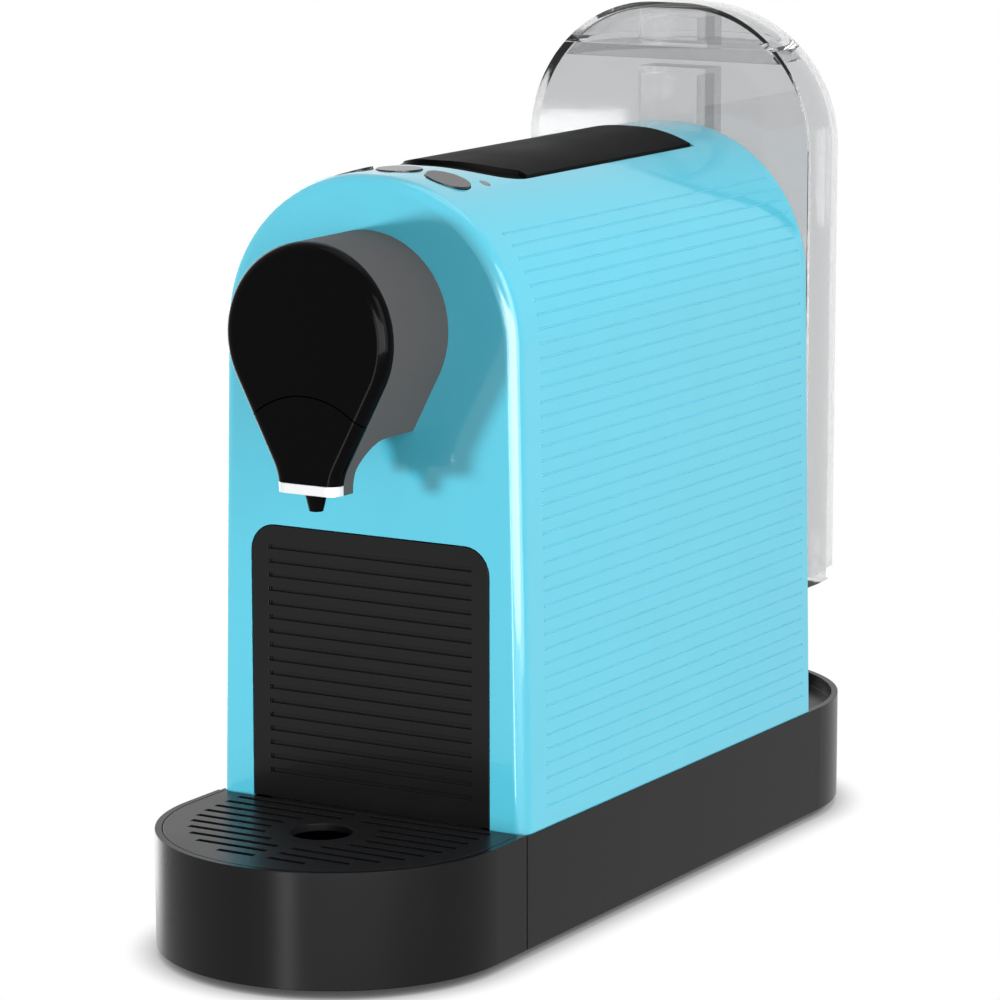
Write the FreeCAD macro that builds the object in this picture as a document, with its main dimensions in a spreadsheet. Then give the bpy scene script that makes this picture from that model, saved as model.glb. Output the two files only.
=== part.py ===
import FreeCAD, Part
import PartDesign
import Sketcher
import math
import os
import re

# Pod coffee machine: a drafted arch housing on a stadium-shaped base, with a brew head in front,
# a removable drip tray and capsule bin, a top lever and a clear water tank behind.
# Frame: +X right, +Y to the back, +Z up, origin on the floor below the middle of the base.

# Driving sizes in millimetres and degrees.
SIZES = {
    "base_radius": 63.2,
    "base_length": 369.2,
    "base_rise": 40.0,
    "base_wall": 2.4,
    "deck_drop": 5.0,
    "deck_thick": 2.4,
    "plate_thick": 2.4,
    "foot_rise": 3.0,
    "foot_radius": 8.0,
    "foot_taper": 0.8,
    "foot_reach": 40.0,
    "foot_spread": 124.0,
    "boss_radius": 4.0,
    "screw_radius": 1.5,
    "screw_head_radius": 3.0,
    "screw_head_rise": 1.4,
    "screw_length": 14.0,
    "boss_reach": 50.0,
    "boss_spread": 80.0,
    "fit_gap": 0.4,
    "pin_gap": 0.05,
    "body_setback": 83.2,
    "body_depth": 213.8,
    "body_inset": 0.6,
    "body_height": 222.5,
    "arch_flat": 2.96,
    "side_draft": 1.146,
    "body_wall": 2.4,
    "front_edge_radius": 5.0,
    "groove_pitch": 5.0,
    "groove_radius": 0.35,
    "groove_end_radius": 0.6,
    "groove_start": 7.35,
    "groove_count": 41,
    "groove_inset": 15.3,
    "groove_length": 193.7,
    "panel_half_width": 48.0,
    "panel_height": 98.0,
    "panel_corner": 9.5,
    "panel_thick": 3.0,
    "rib_pitch": 5.0,
    "rib_count": 17,
    "rib_start": 10.45,
    "rib_half_length": 41.3,
    "rib_depth": 1.2,
    "rib_height": 1.6,
    "bin_half_width": 43.0,
    "bin_depth": 78.0,
    "bin_height": 88.0,
    "bin_wall": 2.0,
    "tray_floor": 2.0,
    "tongue_thick": 2.0,
    "tongue_half_width": 50.0,
    "ledge_width": 3.0,
    "ledge_thick": 2.0,
    "grille_thick": 2.6,
    "grille_hole_radius": 11.0,
    "grille_hole_setback": 31.0,
    "slot_pitch": 7.0,
    "slot_width": 2.6,
    "slot_count": 10,
    "slot_clear_radius": 19.0,
    "slot_edge": 9.0,
    "head_radius": 32.4,
    "head_rise": 171.5,
    "head_depth": 34.7,
    "head_wall": 2.0,
    "head_bore": 16.0,
    "neck_half": 12.2,
    "neck_rise": 120.2,
    "neck_bottom": 118.8,
    "flare_radius": 18.0,
    "chin_rise": 136.4,
    "chin_radius": 11.0,
    "neck_depth": 6.0,
    "cap_depth": 5.2,
    "cap_edge": 4.4,
    "seam_gap": 0.5,
    "cover_arc_radius": 30.3,
    "cover_arc_rise": 152.0,
    "trim_rise": 3.4,
    "nozzle_radius": 4.0,
    "nozzle_tip_radius": 2.4,
    "nozzle_bore": 1.3,
    "nozzle_length": 6.5,
    "lever_half_width": 26.8,
    "lever_nose": 35.2,
    "lever_length": 147.0,
    "lever_thick": 3.0,
    "lever_proud": 0.8,
    "lever_gap": 0.6,
    "lever_rear_gap": 2.2,
    "scoop_reach": 11.0,
    "scoop_radius": 25.0,
    "scoop_drop": 1.8,
    "hinge_inset": 24.0,
    "hinge_drop": 12.0,
    "hinge_radius": 2.5,
    "arm_thick": 3.0,
    "arm_half_gap": 12.0,
    "crank_reach": 18.0,
    "crank_drop": 6.0,
    "link_thick": 3.0,
    "link_half_gap": 16.0,
    "link_eye": 4.0,
    "link_run": 50.0,
    "cage_radius": 23.0,
    "cage_bore": 18.5,
    "cage_depth": 26.0,
    "cage_length": 34.0,
    "crosshead_depth": 16.0,
    "crosshead_height": 16.0,
    "lug_rise": 10.0,
    "sleeve_overlap": 3.2,
    "frame_rise": 197.0,
    "bridge_depth": 12.0,
    "bridge_height": 8.0,
    "ear_half_gap": 17.0,
    "ear_thick": 3.0,
    "arm_front": 34.0,
    "board_drop": 13.0,
    "board_half_width": 25.0,
    "board_depth": 24.0,
    "rod_radius": 3.0,
    "rod_reach": 27.0,
    "tail_radius": 4.0,
    "tail_length": 32.0,
    "sleeve_radius": 7.0,
    "sleeve_length": 45.0,
    "plate_front_gap": 36.0,
    "pierce_thick": 6.0,
    "pierce_radius": 24.0,
    "needle_radius": 1.6,
    "needle_length": 5.0,
    "needle_ring": 10.0,
    "frame_half_gap": 36.0,
    "frame_thick": 3.0,
    "frame_low_front": 85.0,
    "chute_half_width": 20.0,
    "chute_depth": 28.0,
    "chute_wall": 2.0,
    "chute_rise": 10.0,
    "button_radius": 7.9,
    "button_gap": 0.35,
    "button_proud": 0.4,
    "button_thick": 3.0,
    "button_stem_radius": 2.0,
    "button_stem_length": 6.0,
    "button_spread": 19.5,
    "button_setback": 21.2,
    "button_travel": 1.2,
    "board_thick": 1.6,
    "lens_radius": 1.8,
    "lens_thick": 3.2,
    "lens_across": 25.5,
    "lens_setback": 35.8,
    "tank_gap": 0.8,
    "tank_inset": 2.2,
    "tank_flat": 6.4,
    "tank_axis_setback": 9.2,
    "tank_bottom": 47.5,
    "tank_seam": 250.3,
    "tank_top": 267.0,
    "tank_wall": 2.4,
    "tank_floor": 3.0,
    "lid_skirt": 5.0,
    "lid_skirt_wall": 1.6,
    "grip_half_width": 12.0,
    "grip_depth": 13.0,
    "grip_top": 240.0,
    "grip_bottom": 200.0,
    "lid_grip_rise": 11.0,
    "valve_radius": 10.0,
    "valve_height": 16.0,
    "valve_wall": 1.6,
    "valve_bore": 4.0,
    "valve_setback": 22.0,
    "dock_half_width": 33.0,
    "dock_depth": 38.0,
    "dock_corner": 8.0,
    "seal_radius": 8.0,
    "seal_thick": 1.5,
    "pipe_radius": 3.0,
    "pipe_bore": 1.8,
    "hose_radius": 3.0,
    "pump_radius": 16.0,
    "pump_length": 62.0,
    "pump_rise": 34.0,
    "coil_side": 38.0,
    "coil_length": 30.0,
    "heater_thick": 16.0,
    "heater_depth": 84.0,
    "heater_height": 70.0,
    "heater_rise": 60.0,
    "heater_bore": 5.0,
    "meter_radius": 9.0,
    "meter_length": 16.0,
    "control_depth": 64.0,
    "control_height": 70.0,
    "control_rise": 70.0,
    "standoff": 8.0,
    "power_half_width": 30.0,
    "power_depth": 70.0,
    "gland_radius": 7.0,
    "gland_flange": 10.0,
    "gland_bore": 3.6,
    "gland_length": 9.0,
    "vent_count": 6,
    "vent_pitch": 7.0,
    "vent_half_length": 24.0,
    "vent_width": 2.4,
}

# Values worked out from the driving sizes.
DERIVED = {
    "base_top": "foot_rise + base_rise",
    "plate_top": "foot_rise + plate_thick",
    "deck_top": "base_top - deck_drop",
    "deck_low": "deck_top - deck_thick",
    "front_centre": "base_radius - base_length / 2",
    "rear_centre": "base_length / 2 - base_radius",
    "body_front": "body_setback - base_length / 2",
    "body_rear": "body_front + body_depth",
    "body_top": "base_top + body_height",
    "body_half_width": "base_radius - body_inset",
    "arch_radius": "((body_half_width - arch_flat) * cos(side_draft) - body_height * sin(side_draft))"
                   " / (1 - sin(side_draft))",
    "arch_centre_z": "body_top - arch_radius",
    "tank_half_width": "body_half_width - tank_inset",
    "tank_radius": "tank_half_width - tank_flat",
    "head_z": "base_top + head_rise",
    "head_front": "body_front - head_depth",
    "hinge_y": "body_front + lever_nose + lever_length - hinge_inset",
    "hinge_z": "body_top - hinge_drop",
    "crank_y": "hinge_y - crank_reach",
    "crank_z": "hinge_z - crank_drop",
    "cross_y": "crank_y - link_run",
    "pierce_front": "body_front + plate_front_gap",
    "pierce_back": "pierce_front + pierce_thick",
    "cage_front": "pierce_back + fit_gap + needle_length",
    "cross_back": "cross_y + crosshead_depth / 2",
    "cross_pin_z": "head_z + crosshead_height / 2 + lug_rise / 2",
    "sleeve_front": "cross_back + tail_length - sleeve_overlap",
    "frame_rear": "hinge_y + bridge_depth / 2",
    "frame_top": "base_top + frame_rise",
    "frame_front": "body_front + frame_low_front",
    "tank_front": "body_rear + tank_gap",
    "tank_axis": "body_rear + tank_axis_setback",
    "tank_low": "base_top + tank_bottom",
    "tank_split": "base_top + tank_seam",
    "tank_high": "base_top + tank_top",
    "valve_y": "tank_front + valve_setback",
    "tray_floor_z": "plate_top + 2 * fit_gap",
    "grille_top": "base_top + fit_gap",
    "grille_low": "grille_top - grille_thick",
    "tongue_low": "deck_top + fit_gap",
    "tongue_top": "tongue_low + tongue_thick",
    "bin_front": "body_front + panel_thick",
}

doc = FreeCAD.newDocument("pod_coffee_machine")
dims = doc.addObject("Spreadsheet::Sheet", "dims")
for row, (alias, size) in enumerate(SIZES.items(), start=1):
    dims.set(f"A{row}", alias)
    dims.set(f"B{row}", str(size))
    dims.setAlias(f"B{row}", alias)
doc.recompute()

SUB_PARTS = {}
TURN = {
    "Z": FreeCAD.Rotation(),
    "Y": FreeCAD.Rotation(FreeCAD.Vector(1, 0, 0), -90),
    "X": FreeCAD.Rotation(FreeCAD.Vector(0, 1, 0), 90),
}


def formula(text):
    """Expression text in which each size is its cell and each derived value its own formula."""
    def swap(match):
        word = match.group()
        if word in DERIVED:
            return f"({formula(DERIVED[word])})"
        if word in SIZES:
            return f"dims.{word}"
        return word
    return re.sub(r"[a-z][a-z_]*", swap, text)


def num(text):
    """Present value of a formula."""
    value = dims.evalExpression(formula(text))
    return float(getattr(value, "Value", value))


def bind(item, **sizes):
    """Ties properties of an object to formulas; a double underscore stands for a dot."""
    for key, text in sizes.items():
        item.setExpression(key.replace("__", "."), formula(text))
    return item


def place(item, x, y, z):
    return bind(item, Placement__Base__x=x, Placement__Base__y=y, Placement__Base__z=z)


def box(name, x, y, z, along, across, rise):
    """Block from its low corner, with its lengths along X, Y and Z."""
    block = doc.addObject("Part::Box", name)
    bind(block, Length=along, Width=across, Height=rise)
    return place(block, x, y, z)


def mid_box(name, half_width, y, z, across, rise):
    """Block that straddles the middle plane."""
    return box(name, f"-({half_width})", y, z, f"2 * ({half_width})", across, rise)


def cylinder(name, x, y, z, radius, length, axis="Z"):
    """Round bar from the middle of its first end, along one axis."""
    bar = doc.addObject("Part::Cylinder", name)
    bar.Placement = FreeCAD.Placement(FreeCAD.Vector(), TURN[axis])
    bind(bar, Radius=radius, Height=length)
    return place(bar, x, y, z)


def cone(name, x, y, z, low_radius, high_radius, length, axis="Z"):
    taper = doc.addObject("Part::Cone", name)
    taper.Placement = FreeCAD.Placement(FreeCAD.Vector(), TURN[axis])
    bind(taper, Radius1=low_radius, Radius2=high_radius, Height=length)
    return place(taper, x, y, z)


def fuse(name, *pieces):
    union = doc.addObject("Part::MultiFuse", name)
    union.Shapes = list(pieces)
    union.Refine = True
    return union


def common(name, *pieces):
    shared = doc.addObject("Part::MultiCommon", name)
    shared.Shapes = list(pieces)
    return shared


def cut(name, base, *tools):
    rest = doc.addObject("Part::Cut", name)
    rest.Base = base
    rest.Tool = tools[0] if len(tools) == 1 else fuse(f"{name}_tools", *tools)
    rest.Refine = True
    return rest


def group(name, *pieces):
    """Separate solids that share one node."""
    together = doc.addObject("Part::Compound", name)
    together.Links = list(pieces)
    return together


def sub_part(label, item):
    item.Label = label
    SUB_PARTS[label] = item
    return item


def stadium(name, radius, z, rise):
    """Prism with straight sides and half-round ends on the two end centres of the base."""
    length = "rear_centre - front_centre"
    return fuse(
        name,
        mid_box(f"{name}_mid", radius, "front_centre", z, length, rise),
        cylinder(f"{name}_front", "0", "front_centre", z, radius, rise),
        cylinder(f"{name}_rear", "0", "rear_centre", z, radius, rise),
    )


def nose(name, radius, z, rise, back):
    """Prism of the half-round front end of the base, straight from its centre to a back plane."""
    return fuse(
        name,
        mid_box(f"{name}_mid", radius, "front_centre", z, f"({back}) - front_centre", rise),
        cut(
            f"{name}_half",
            cylinder(f"{name}_round", "0", "front_centre", z, radius, rise),
            mid_box(f"{name}_off", f"2 * ({radius})", "front_centre", z, f"2 * ({radius})", rise),
        ),
    )


def origin_plane(body, role):
    return [plane for plane in body.Origin.OriginFeatures if plane.Role == role][0]


def sketch_on(body, name, role, lift):
    """Sketch on one of the body's origin planes, lifted along the plane's normal."""
    sketch = body.newObject("Sketcher::SketchObject", name)
    sketch.AttachmentSupport = [(origin_plane(body, role), "")]
    sketch.MapMode = "FlatFace"
    sketch.setExpression("AttachmentOffset.Base.z", formula(lift))
    return sketch


def line(x0, z0, x1, z1):
    return Part.LineSegment(FreeCAD.Vector(x0, z0, 0), FreeCAD.Vector(x1, z1, 0))


def arc(x, z, radius, start, end):
    """Arc that runs counter-clockwise between two angles in degrees."""
    circle = Part.Circle(FreeCAD.Vector(x, z, 0), FreeCAD.Vector(0, 0, 1), radius)
    return Part.ArcOfCircle(circle, math.radians(start), math.radians(end))


def named(sketch, name, text, *constraint):
    """Dimension of a sketch, tied to a formula."""
    index = sketch.addConstraint(Sketcher.Constraint(*constraint))
    sketch.renameConstraint(index, name)
    sketch.setExpression(f"Constraints.{name}", formula(text))


def arch_sketch(body, name, y, half_width, radius, bottom, top, draft):
    """Closed arch across X: drafted sides, rounded shoulders and a narrow flat top."""
    sketch = sketch_on(body, name, "XZ_Plane", f"-({y})")
    low = num(bottom)
    high = num(top)
    half = num(half_width)
    turn = num(radius)
    lean = num(draft)
    shoulder_z = high - turn
    drop = (shoulder_z - low) * math.sin(math.radians(lean))
    shoulder_x = half - (turn + drop) / math.cos(math.radians(lean))
    side_x = shoulder_x + turn * math.cos(math.radians(lean))
    side_z = shoulder_z + turn * math.sin(math.radians(lean))
    sketch.addGeometry(line(-half, low, half, low))
    sketch.addGeometry(line(half, low, side_x, side_z))
    sketch.addGeometry(arc(shoulder_x, shoulder_z, turn, lean, 90))
    sketch.addGeometry(line(shoulder_x, high, -shoulder_x, high))
    sketch.addGeometry(arc(-shoulder_x, shoulder_z, turn, 90, 180 - lean))
    sketch.addGeometry(line(-side_x, side_z, -half, low))
    sketch.addConstraint(Sketcher.Constraint("Coincident", 0, 2, 1, 1))
    sketch.addConstraint(Sketcher.Constraint("Tangent", 1, 2, 2, 1))
    sketch.addConstraint(Sketcher.Constraint("Tangent", 2, 2, 3, 1))
    sketch.addConstraint(Sketcher.Constraint("Tangent", 3, 2, 4, 1))
    sketch.addConstraint(Sketcher.Constraint("Tangent", 4, 2, 5, 1))
    sketch.addConstraint(Sketcher.Constraint("Coincident", 5, 2, 0, 1))
    sketch.addConstraint(Sketcher.Constraint("Symmetric", 0, 1, 0, 2, -2))
    sketch.addConstraint(Sketcher.Constraint("Symmetric", 3, 1, 3, 2, -2))
    sketch.addConstraint(Sketcher.Constraint("Equal", 2, 4))
    named(sketch, "bottom", bottom, "DistanceY", -1, 1, 0, 2, low)
    named(sketch, "half_width", half_width, "DistanceX", -1, 1, 0, 2, half)
    named(sketch, "radius", radius, "Radius", 2, turn)
    named(sketch, "top", top, "DistanceY", -1, 1, 3, 1, high)
    named(sketch, "side", f"(90 + {draft}) * 1 deg", "Angle", 1, math.radians(90 + lean))
    return sketch


def pad(body, name, sketch, length, reverse=False):
    feature = body.newObject("PartDesign::Pad", name)
    feature.Profile = sketch
    feature.Reversed = reverse
    feature.setExpression("Length", formula(length))
    return feature


def pocket(body, name, sketch, length, reverse=False):
    """Pocket that has to take material away."""
    doc.recompute()
    before = body.Shape.Volume
    feature = body.newObject("PartDesign::Pocket", name)
    feature.Profile = sketch
    feature.Reversed = reverse
    feature.setExpression("Length", formula(length))
    doc.recompute()
    if body.Shape.Volume >= before:
        raise ValueError(f"{name} cuts nothing")
    return feature


def rounded_panel(body, name, y, half_width, low, high, corner):
    """Upright panel outline: square foot and rounded upper corners."""
    sketch = sketch_on(body, name, "XZ_Plane", f"-({y})")
    half = num(half_width)
    foot = num(low)
    head = num(high)
    turn = num(corner)
    sketch.addGeometry(line(-half, foot, half, foot))
    sketch.addGeometry(line(half, foot, half, head - turn))
    sketch.addGeometry(arc(half - turn, head - turn, turn, 0, 90))
    sketch.addGeometry(line(half - turn, head, turn - half, head))
    sketch.addGeometry(arc(turn - half, head - turn, turn, 90, 180))
    sketch.addGeometry(line(-half, head - turn, -half, foot))
    sketch.addConstraint(Sketcher.Constraint("Coincident", 0, 2, 1, 1))
    sketch.addConstraint(Sketcher.Constraint("Tangent", 1, 2, 2, 1))
    sketch.addConstraint(Sketcher.Constraint("Tangent", 2, 2, 3, 1))
    sketch.addConstraint(Sketcher.Constraint("Tangent", 3, 2, 4, 1))
    sketch.addConstraint(Sketcher.Constraint("Tangent", 4, 2, 5, 1))
    sketch.addConstraint(Sketcher.Constraint("Coincident", 5, 2, 0, 1))
    sketch.addConstraint(Sketcher.Constraint("Symmetric", 0, 1, 0, 2, -2))
    sketch.addConstraint(Sketcher.Constraint("Vertical", 1))
    sketch.addConstraint(Sketcher.Constraint("Equal", 2, 4))
    sketch.addConstraint(Sketcher.Constraint("Symmetric", 3, 1, 3, 2, -2))
    named(sketch, "low", low, "DistanceY", -1, 1, 0, 2, foot)
    named(sketch, "half_width", half_width, "DistanceX", -1, 1, 0, 2, half)
    named(sketch, "corner", corner, "Radius", 2, turn)
    named(sketch, "high", high, "DistanceY", -1, 1, 3, 1, head)
    return sketch


def circle_sketch(body, name, y, z, radius):
    """Circle on the middle plane of an upright face."""
    sketch = sketch_on(body, name, "XZ_Plane", f"-({y})")
    centre = FreeCAD.Vector(0, num(z), 0)
    sketch.addGeometry(Part.Circle(centre, FreeCAD.Vector(0, 0, 1), num(radius)))
    sketch.addConstraint(Sketcher.Constraint("PointOnObject", 0, 3, -2))
    named(sketch, "height", z, "DistanceY", -1, 1, 0, 3, num(z))
    named(sketch, "radius", radius, "Radius", 0, num(radius))
    return sketch


def arch_body(name, y, depth, inset, bottom):
    """Prism of the housing's arch, drawn in from the outer face."""
    body = doc.addObject("PartDesign::Body", name)
    half = (f"body_half_width - ({inset}) / cos(side_draft)"
            f" - (({bottom}) - base_top) * tan(side_draft)")
    sketch = arch_sketch(body, f"{name}_arch", y, half, f"arch_radius - ({inset})", bottom,
                         f"body_top - ({inset})", "side_draft")
    pad(body, f"{name}_pad", sketch, depth, reverse=True)
    return body


def tilted(item, across, y, depth):
    """Puts an upright piece on the arch's normal at a distance across, sunk by a depth."""
    lean = f"asin((abs({across}) - arch_flat) / arch_radius)"
    side = "1" if num(across) > 0 else "-1"
    if num(across) == 0:
        return place(item, "0", y, f"body_top - ({depth})")
    item.Placement = FreeCAD.Placement(FreeCAD.Vector(), FreeCAD.Rotation(FreeCAD.Vector(0, 1, 0), 1))
    reach = f"(arch_radius - ({depth}))"
    item.setExpression("Placement.Rotation.Angle", formula(f"{side} * {lean}"))
    return place(
        item,
        f"{side} * (arch_flat + {reach} * sin({lean}))",
        y,
        f"arch_centre_z + {reach} * cos({lean})",
    )


# Base tub: the black plinth behind the drip tray, with a recessed deck and screw bosses.
BOSS_PLACES = [(sx, sy) for sx in ("", "-") for sy in ("", "-")]
tub_shell = cut(
    "tub_shell",
    stadium("tub_outer", "base_radius", "foot_rise", "base_rise"),
    stadium("tub_under", "base_radius - base_wall", "foot_rise", "deck_low - foot_rise"),
    stadium("tub_recess", "base_radius - base_wall", "deck_top", "base_top - deck_top"),
)
tub_bosses = [
    cylinder(f"tub_boss_{i}", f"{sx}boss_reach", f"{sy}boss_spread", "plate_top", "boss_radius",
             "deck_low - plate_top")
    for i, (sx, sy) in enumerate(BOSS_PLACES)
]
tub_front_wall = mid_box("tub_front_wall", "base_radius - base_wall", "body_front + fit_gap",
                         "plate_top + fit_gap", "base_wall", "deck_top - plate_top - fit_gap")
tub_holes = [
    cylinder(f"tub_hole_{i}", f"{sx}boss_reach", f"{sy}boss_spread", "foot_rise",
             "screw_radius + pin_gap", "screw_length + fit_gap")
    for i, (sx, sy) in enumerate(BOSS_PLACES)
]
sub_part("base_tub", cut(
    "base_tub",
    fuse("tub_whole", tub_shell, tub_front_wall, *tub_bosses),
    mid_box("tub_front_off", "2 * base_radius", "-base_length", "0", "base_length + body_front + fit_gap",
            "base_top + deck_drop"),
    cylinder("tub_gland_hole", "0", "rear_centre", "foot_rise + base_rise / 2", "gland_radius + pin_gap",
             "2 * base_radius", "Y"),
    *tub_holes,
))

# Bottom plate: closes the tub and runs forward as the cradle below the drip tray.
plate_holes = [
    cylinder(f"plate_hole_{i}", f"{sx}boss_reach", f"{sy}boss_spread", "0", "screw_radius + pin_gap",
             "base_top")
    for i, (sx, sy) in enumerate(BOSS_PLACES)
]
plate_sinks = [
    cylinder(f"plate_sink_{i}", f"{sx}boss_reach", f"{sy}boss_spread", "0",
             "screw_head_radius + fit_gap", "foot_rise + screw_head_rise")
    for i, (sx, sy) in enumerate(BOSS_PLACES)
]
sub_part("bottom_plate", cut(
    "bottom_plate",
    stadium("plate_blank", "base_radius - base_wall - 2 * fit_gap", "foot_rise", "plate_thick"),
    *plate_holes,
    *plate_sinks,
))

# Rubber feet: four tapered pads below the bottom plate.
sub_part("rubber_feet", group("rubber_feet", *[
    cone(f"foot_{i}", f"{sx}foot_reach", f"{sy}foot_spread", "0", "foot_radius - foot_taper",
         "foot_radius", "foot_rise")
    for i, (sx, sy) in enumerate(BOSS_PLACES)
]))

# Base screws: pan heads sunk in the plate, shanks in the tub's bosses.
sub_part("base_screws", group("base_screws", *[
    fuse(
        f"base_screw_{i}",
        cylinder(f"base_screw_head_{i}", f"{sx}boss_reach", f"{sy}boss_spread", "foot_rise",
                 "screw_head_radius", "screw_head_rise"),
        cylinder(f"base_screw_shank_{i}", f"{sx}boss_reach", f"{sy}boss_spread", "foot_rise",
                 "screw_radius", "screw_length"),
    )
    for i, (sx, sy) in enumerate(BOSS_PLACES)
]))

# Cord gland: flanged bush in the back of the plinth, where the mains lead goes in.
sub_part("cord_gland", cut(
    "cord_gland",
    fuse(
        "gland_whole",
        cylinder("gland_barrel", "0", "base_length / 2 - gland_length", "foot_rise + base_rise / 2",
                 "gland_radius", "gland_length - fit_gap", "Y"),
        cylinder("gland_flange_ring", "0", "base_length / 2 - gland_length",
                 "foot_rise + base_rise / 2", "gland_flange", "gland_length - base_wall * 2", "Y"),
    ),
    cylinder("gland_bore_hole", "0", "rear_centre", "foot_rise + base_rise / 2", "gland_bore",
             "2 * base_radius", "Y"),
))

# Power board: mains filter board that stands on the bottom plate inside the plinth.
sub_part("power_board", fuse(
    "power_board",
    mid_box("power_blank", "power_half_width", "0", "plate_top + standoff", "power_depth",
            "board_thick"),
    mid_box("power_choke", "power_half_width / 2", "power_depth / 3", "plate_top + standoff + board_thick",
            "power_depth / 3", "standoff"),
    *[
        cylinder(f"power_post_{i}", f"{sx}(power_half_width - standoff)",
                 f"power_depth / 2 {sy or '+'} power_depth / 3", "plate_top", "screw_radius * 2", "standoff")
        for i, (sx, sy) in enumerate(BOSS_PLACES)
    ],
))

# Drip tray: half-round basin in front, with a rear tongue that runs in over the deck.
TRAY_BACK = "body_front - fit_gap"
tray_basin = cut(
    "tray_basin",
    nose("tray_outer", "base_radius", "foot_rise", "grille_top - foot_rise", TRAY_BACK),
    nose("tray_under", "base_radius - base_wall", "foot_rise", "tray_floor_z - foot_rise", "body_front"),
    nose("tray_inside", "base_radius - base_wall - ledge_width", "tray_floor_z + tray_floor",
         "base_rise", f"{TRAY_BACK} - base_wall"),
    nose("tray_seat", "base_radius - base_wall", "grille_low - fit_gap", "base_rise", "body_front"),
    nose("tray_lower", "base_radius - base_wall", "tray_floor_z + tray_floor",
         "grille_low - fit_gap - ledge_thick - tray_floor_z - tray_floor", f"{TRAY_BACK} - base_wall"),
)
tray_tongue = mid_box("tray_tongue", "tongue_half_width", f"{TRAY_BACK} - base_wall", "tongue_low",
                      "bin_depth + panel_thick + base_wall + fit_gap", "tongue_thick")
sub_part("drip_tray", cut(
    "drip_tray",
    fuse("tray_whole", tray_basin, tray_tongue),
    mid_box("tray_tongue_relief", "tongue_half_width + base_wall", "body_front - ledge_width * 2",
            "grille_low - fit_gap", "ledge_width * 2 - fit_gap", "base_rise"),
))

# Drip grille: slotted half-round plate with a round drain hole, lifted out for washing.
GRILLE_RADIUS = "base_radius - base_wall - fit_gap"
GRILLE_BACK = "body_front - 2 * fit_gap"
HOLE_Y = "body_front - grille_hole_setback"


def grille_slots():
    """Rows of slots that stop short of the drain hole and of the rim."""
    slots = []
    width = num("slot_width")
    rim = num(GRILLE_RADIUS) - num("slot_edge")
    clear = num("slot_clear_radius")
    deep = 2 * num("grille_thick")
    hole_y = num(HOLE_Y)
    for row in range(int(num("slot_count"))):
        y = num(GRILLE_BACK) - num("slot_edge") / 2 - row * num("slot_pitch")
        ahead = max(num("front_centre") - y, 0)
        outer = math.sqrt(max(rim ** 2 - ahead ** 2, 0))
        near = abs(y - hole_y)
        inner = math.sqrt(clear ** 2 - near ** 2) if near < clear else 0
        inner = max(inner, width)
        if outer - inner < 2 * width:
            continue
        for side in (-1, 1):
            low = FreeCAD.Vector(min(side * inner, side * outer), y - width / 2, num("grille_low") - deep / 4)
            slots.append(Part.makeBox(outer - inner, width, deep, low))
    return Part.makeCompound(slots)


slot_tools = doc.addObject("Part::Feature", "grille_slot_tools")
slot_tools.Shape = grille_slots()
grille_blank = cut(
    "grille_blank",
    nose("grille_plate", GRILLE_RADIUS, "grille_low", "grille_thick", GRILLE_BACK),
    cylinder("grille_hole", "0", HOLE_Y, "grille_low - grille_thick", "grille_hole_radius",
             "3 * grille_thick"),
)
sub_part("drip_grille", cut("drip_grille", grille_blank, slot_tools))

# Capsule bin: open box behind the ribbed panel, standing on the tray's tongue.
sub_part("capsule_bin", cut(
    "capsule_bin",
    mid_box("bin_outer", "bin_half_width", "bin_front", "tongue_top", "bin_depth", "bin_height"),
    mid_box("bin_inside", "bin_half_width - bin_wall", "bin_front + bin_wall", "tongue_top + bin_wall",
            "bin_depth - 2 * bin_wall", "bin_height"),
))

# Bin panel: the ribbed black front of the bin, flush with the housing's face.
panel = doc.addObject("PartDesign::Body", "bin_panel")
panel_outline = rounded_panel(panel, "panel_outline", "body_front", "panel_half_width",
                              "grille_top + fit_gap", "base_top + panel_height", "panel_corner")
pad(panel, "panel_pad", panel_outline, "panel_thick", reverse=True)
rib_sketch = sketch_on(panel, "rib_outline", "XZ_Plane", "-body_front")
rib_low = num("base_top + rib_start - rib_height / 2")
rib_high = num("base_top + rib_start + rib_height / 2")
rib_half = num("rib_half_length")
rib_sketch.addGeometry(line(-rib_half, rib_low, rib_half, rib_low))
rib_sketch.addGeometry(line(rib_half, rib_low, rib_half, rib_high))
rib_sketch.addGeometry(line(rib_half, rib_high, -rib_half, rib_high))
rib_sketch.addGeometry(line(-rib_half, rib_high, -rib_half, rib_low))
for corner in range(4):
    rib_sketch.addConstraint(Sketcher.Constraint("Coincident", corner, 2, (corner + 1) % 4, 1))
rib_sketch.addConstraint(Sketcher.Constraint("Vertical", 1))
rib_sketch.addConstraint(Sketcher.Constraint("Symmetric", 0, 1, 0, 2, -2))
rib_sketch.addConstraint(Sketcher.Constraint("Symmetric", 2, 1, 2, 2, -2))
named(rib_sketch, "low", "base_top + rib_start - rib_height / 2", "DistanceY", -1, 1, 0, 2, rib_low)
named(rib_sketch, "rise", "rib_height", "DistanceY", 1, 1, 1, 2, rib_high - rib_low)
named(rib_sketch, "half_length", "rib_half_length", "DistanceX", -1, 1, 0, 2, rib_half)
rib_pocket = pocket(panel, "rib_groove", rib_sketch, "rib_depth")
rib_rows = panel.newObject("PartDesign::LinearPattern", "rib_rows")
rib_rows.Originals = [rib_pocket]
rib_rows.Direction = (origin_plane(panel, "Z_Axis"), [""])
rib_rows.Length = num("rib_pitch * (rib_count - 1)")
rib_rows.setExpression("Length", formula("rib_pitch * (rib_count - 1)"))
rib_rows.setExpression("Occurrences", formula("rib_count"))
panel.Tip = rib_rows
sub_part("bin_panel", panel)

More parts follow.
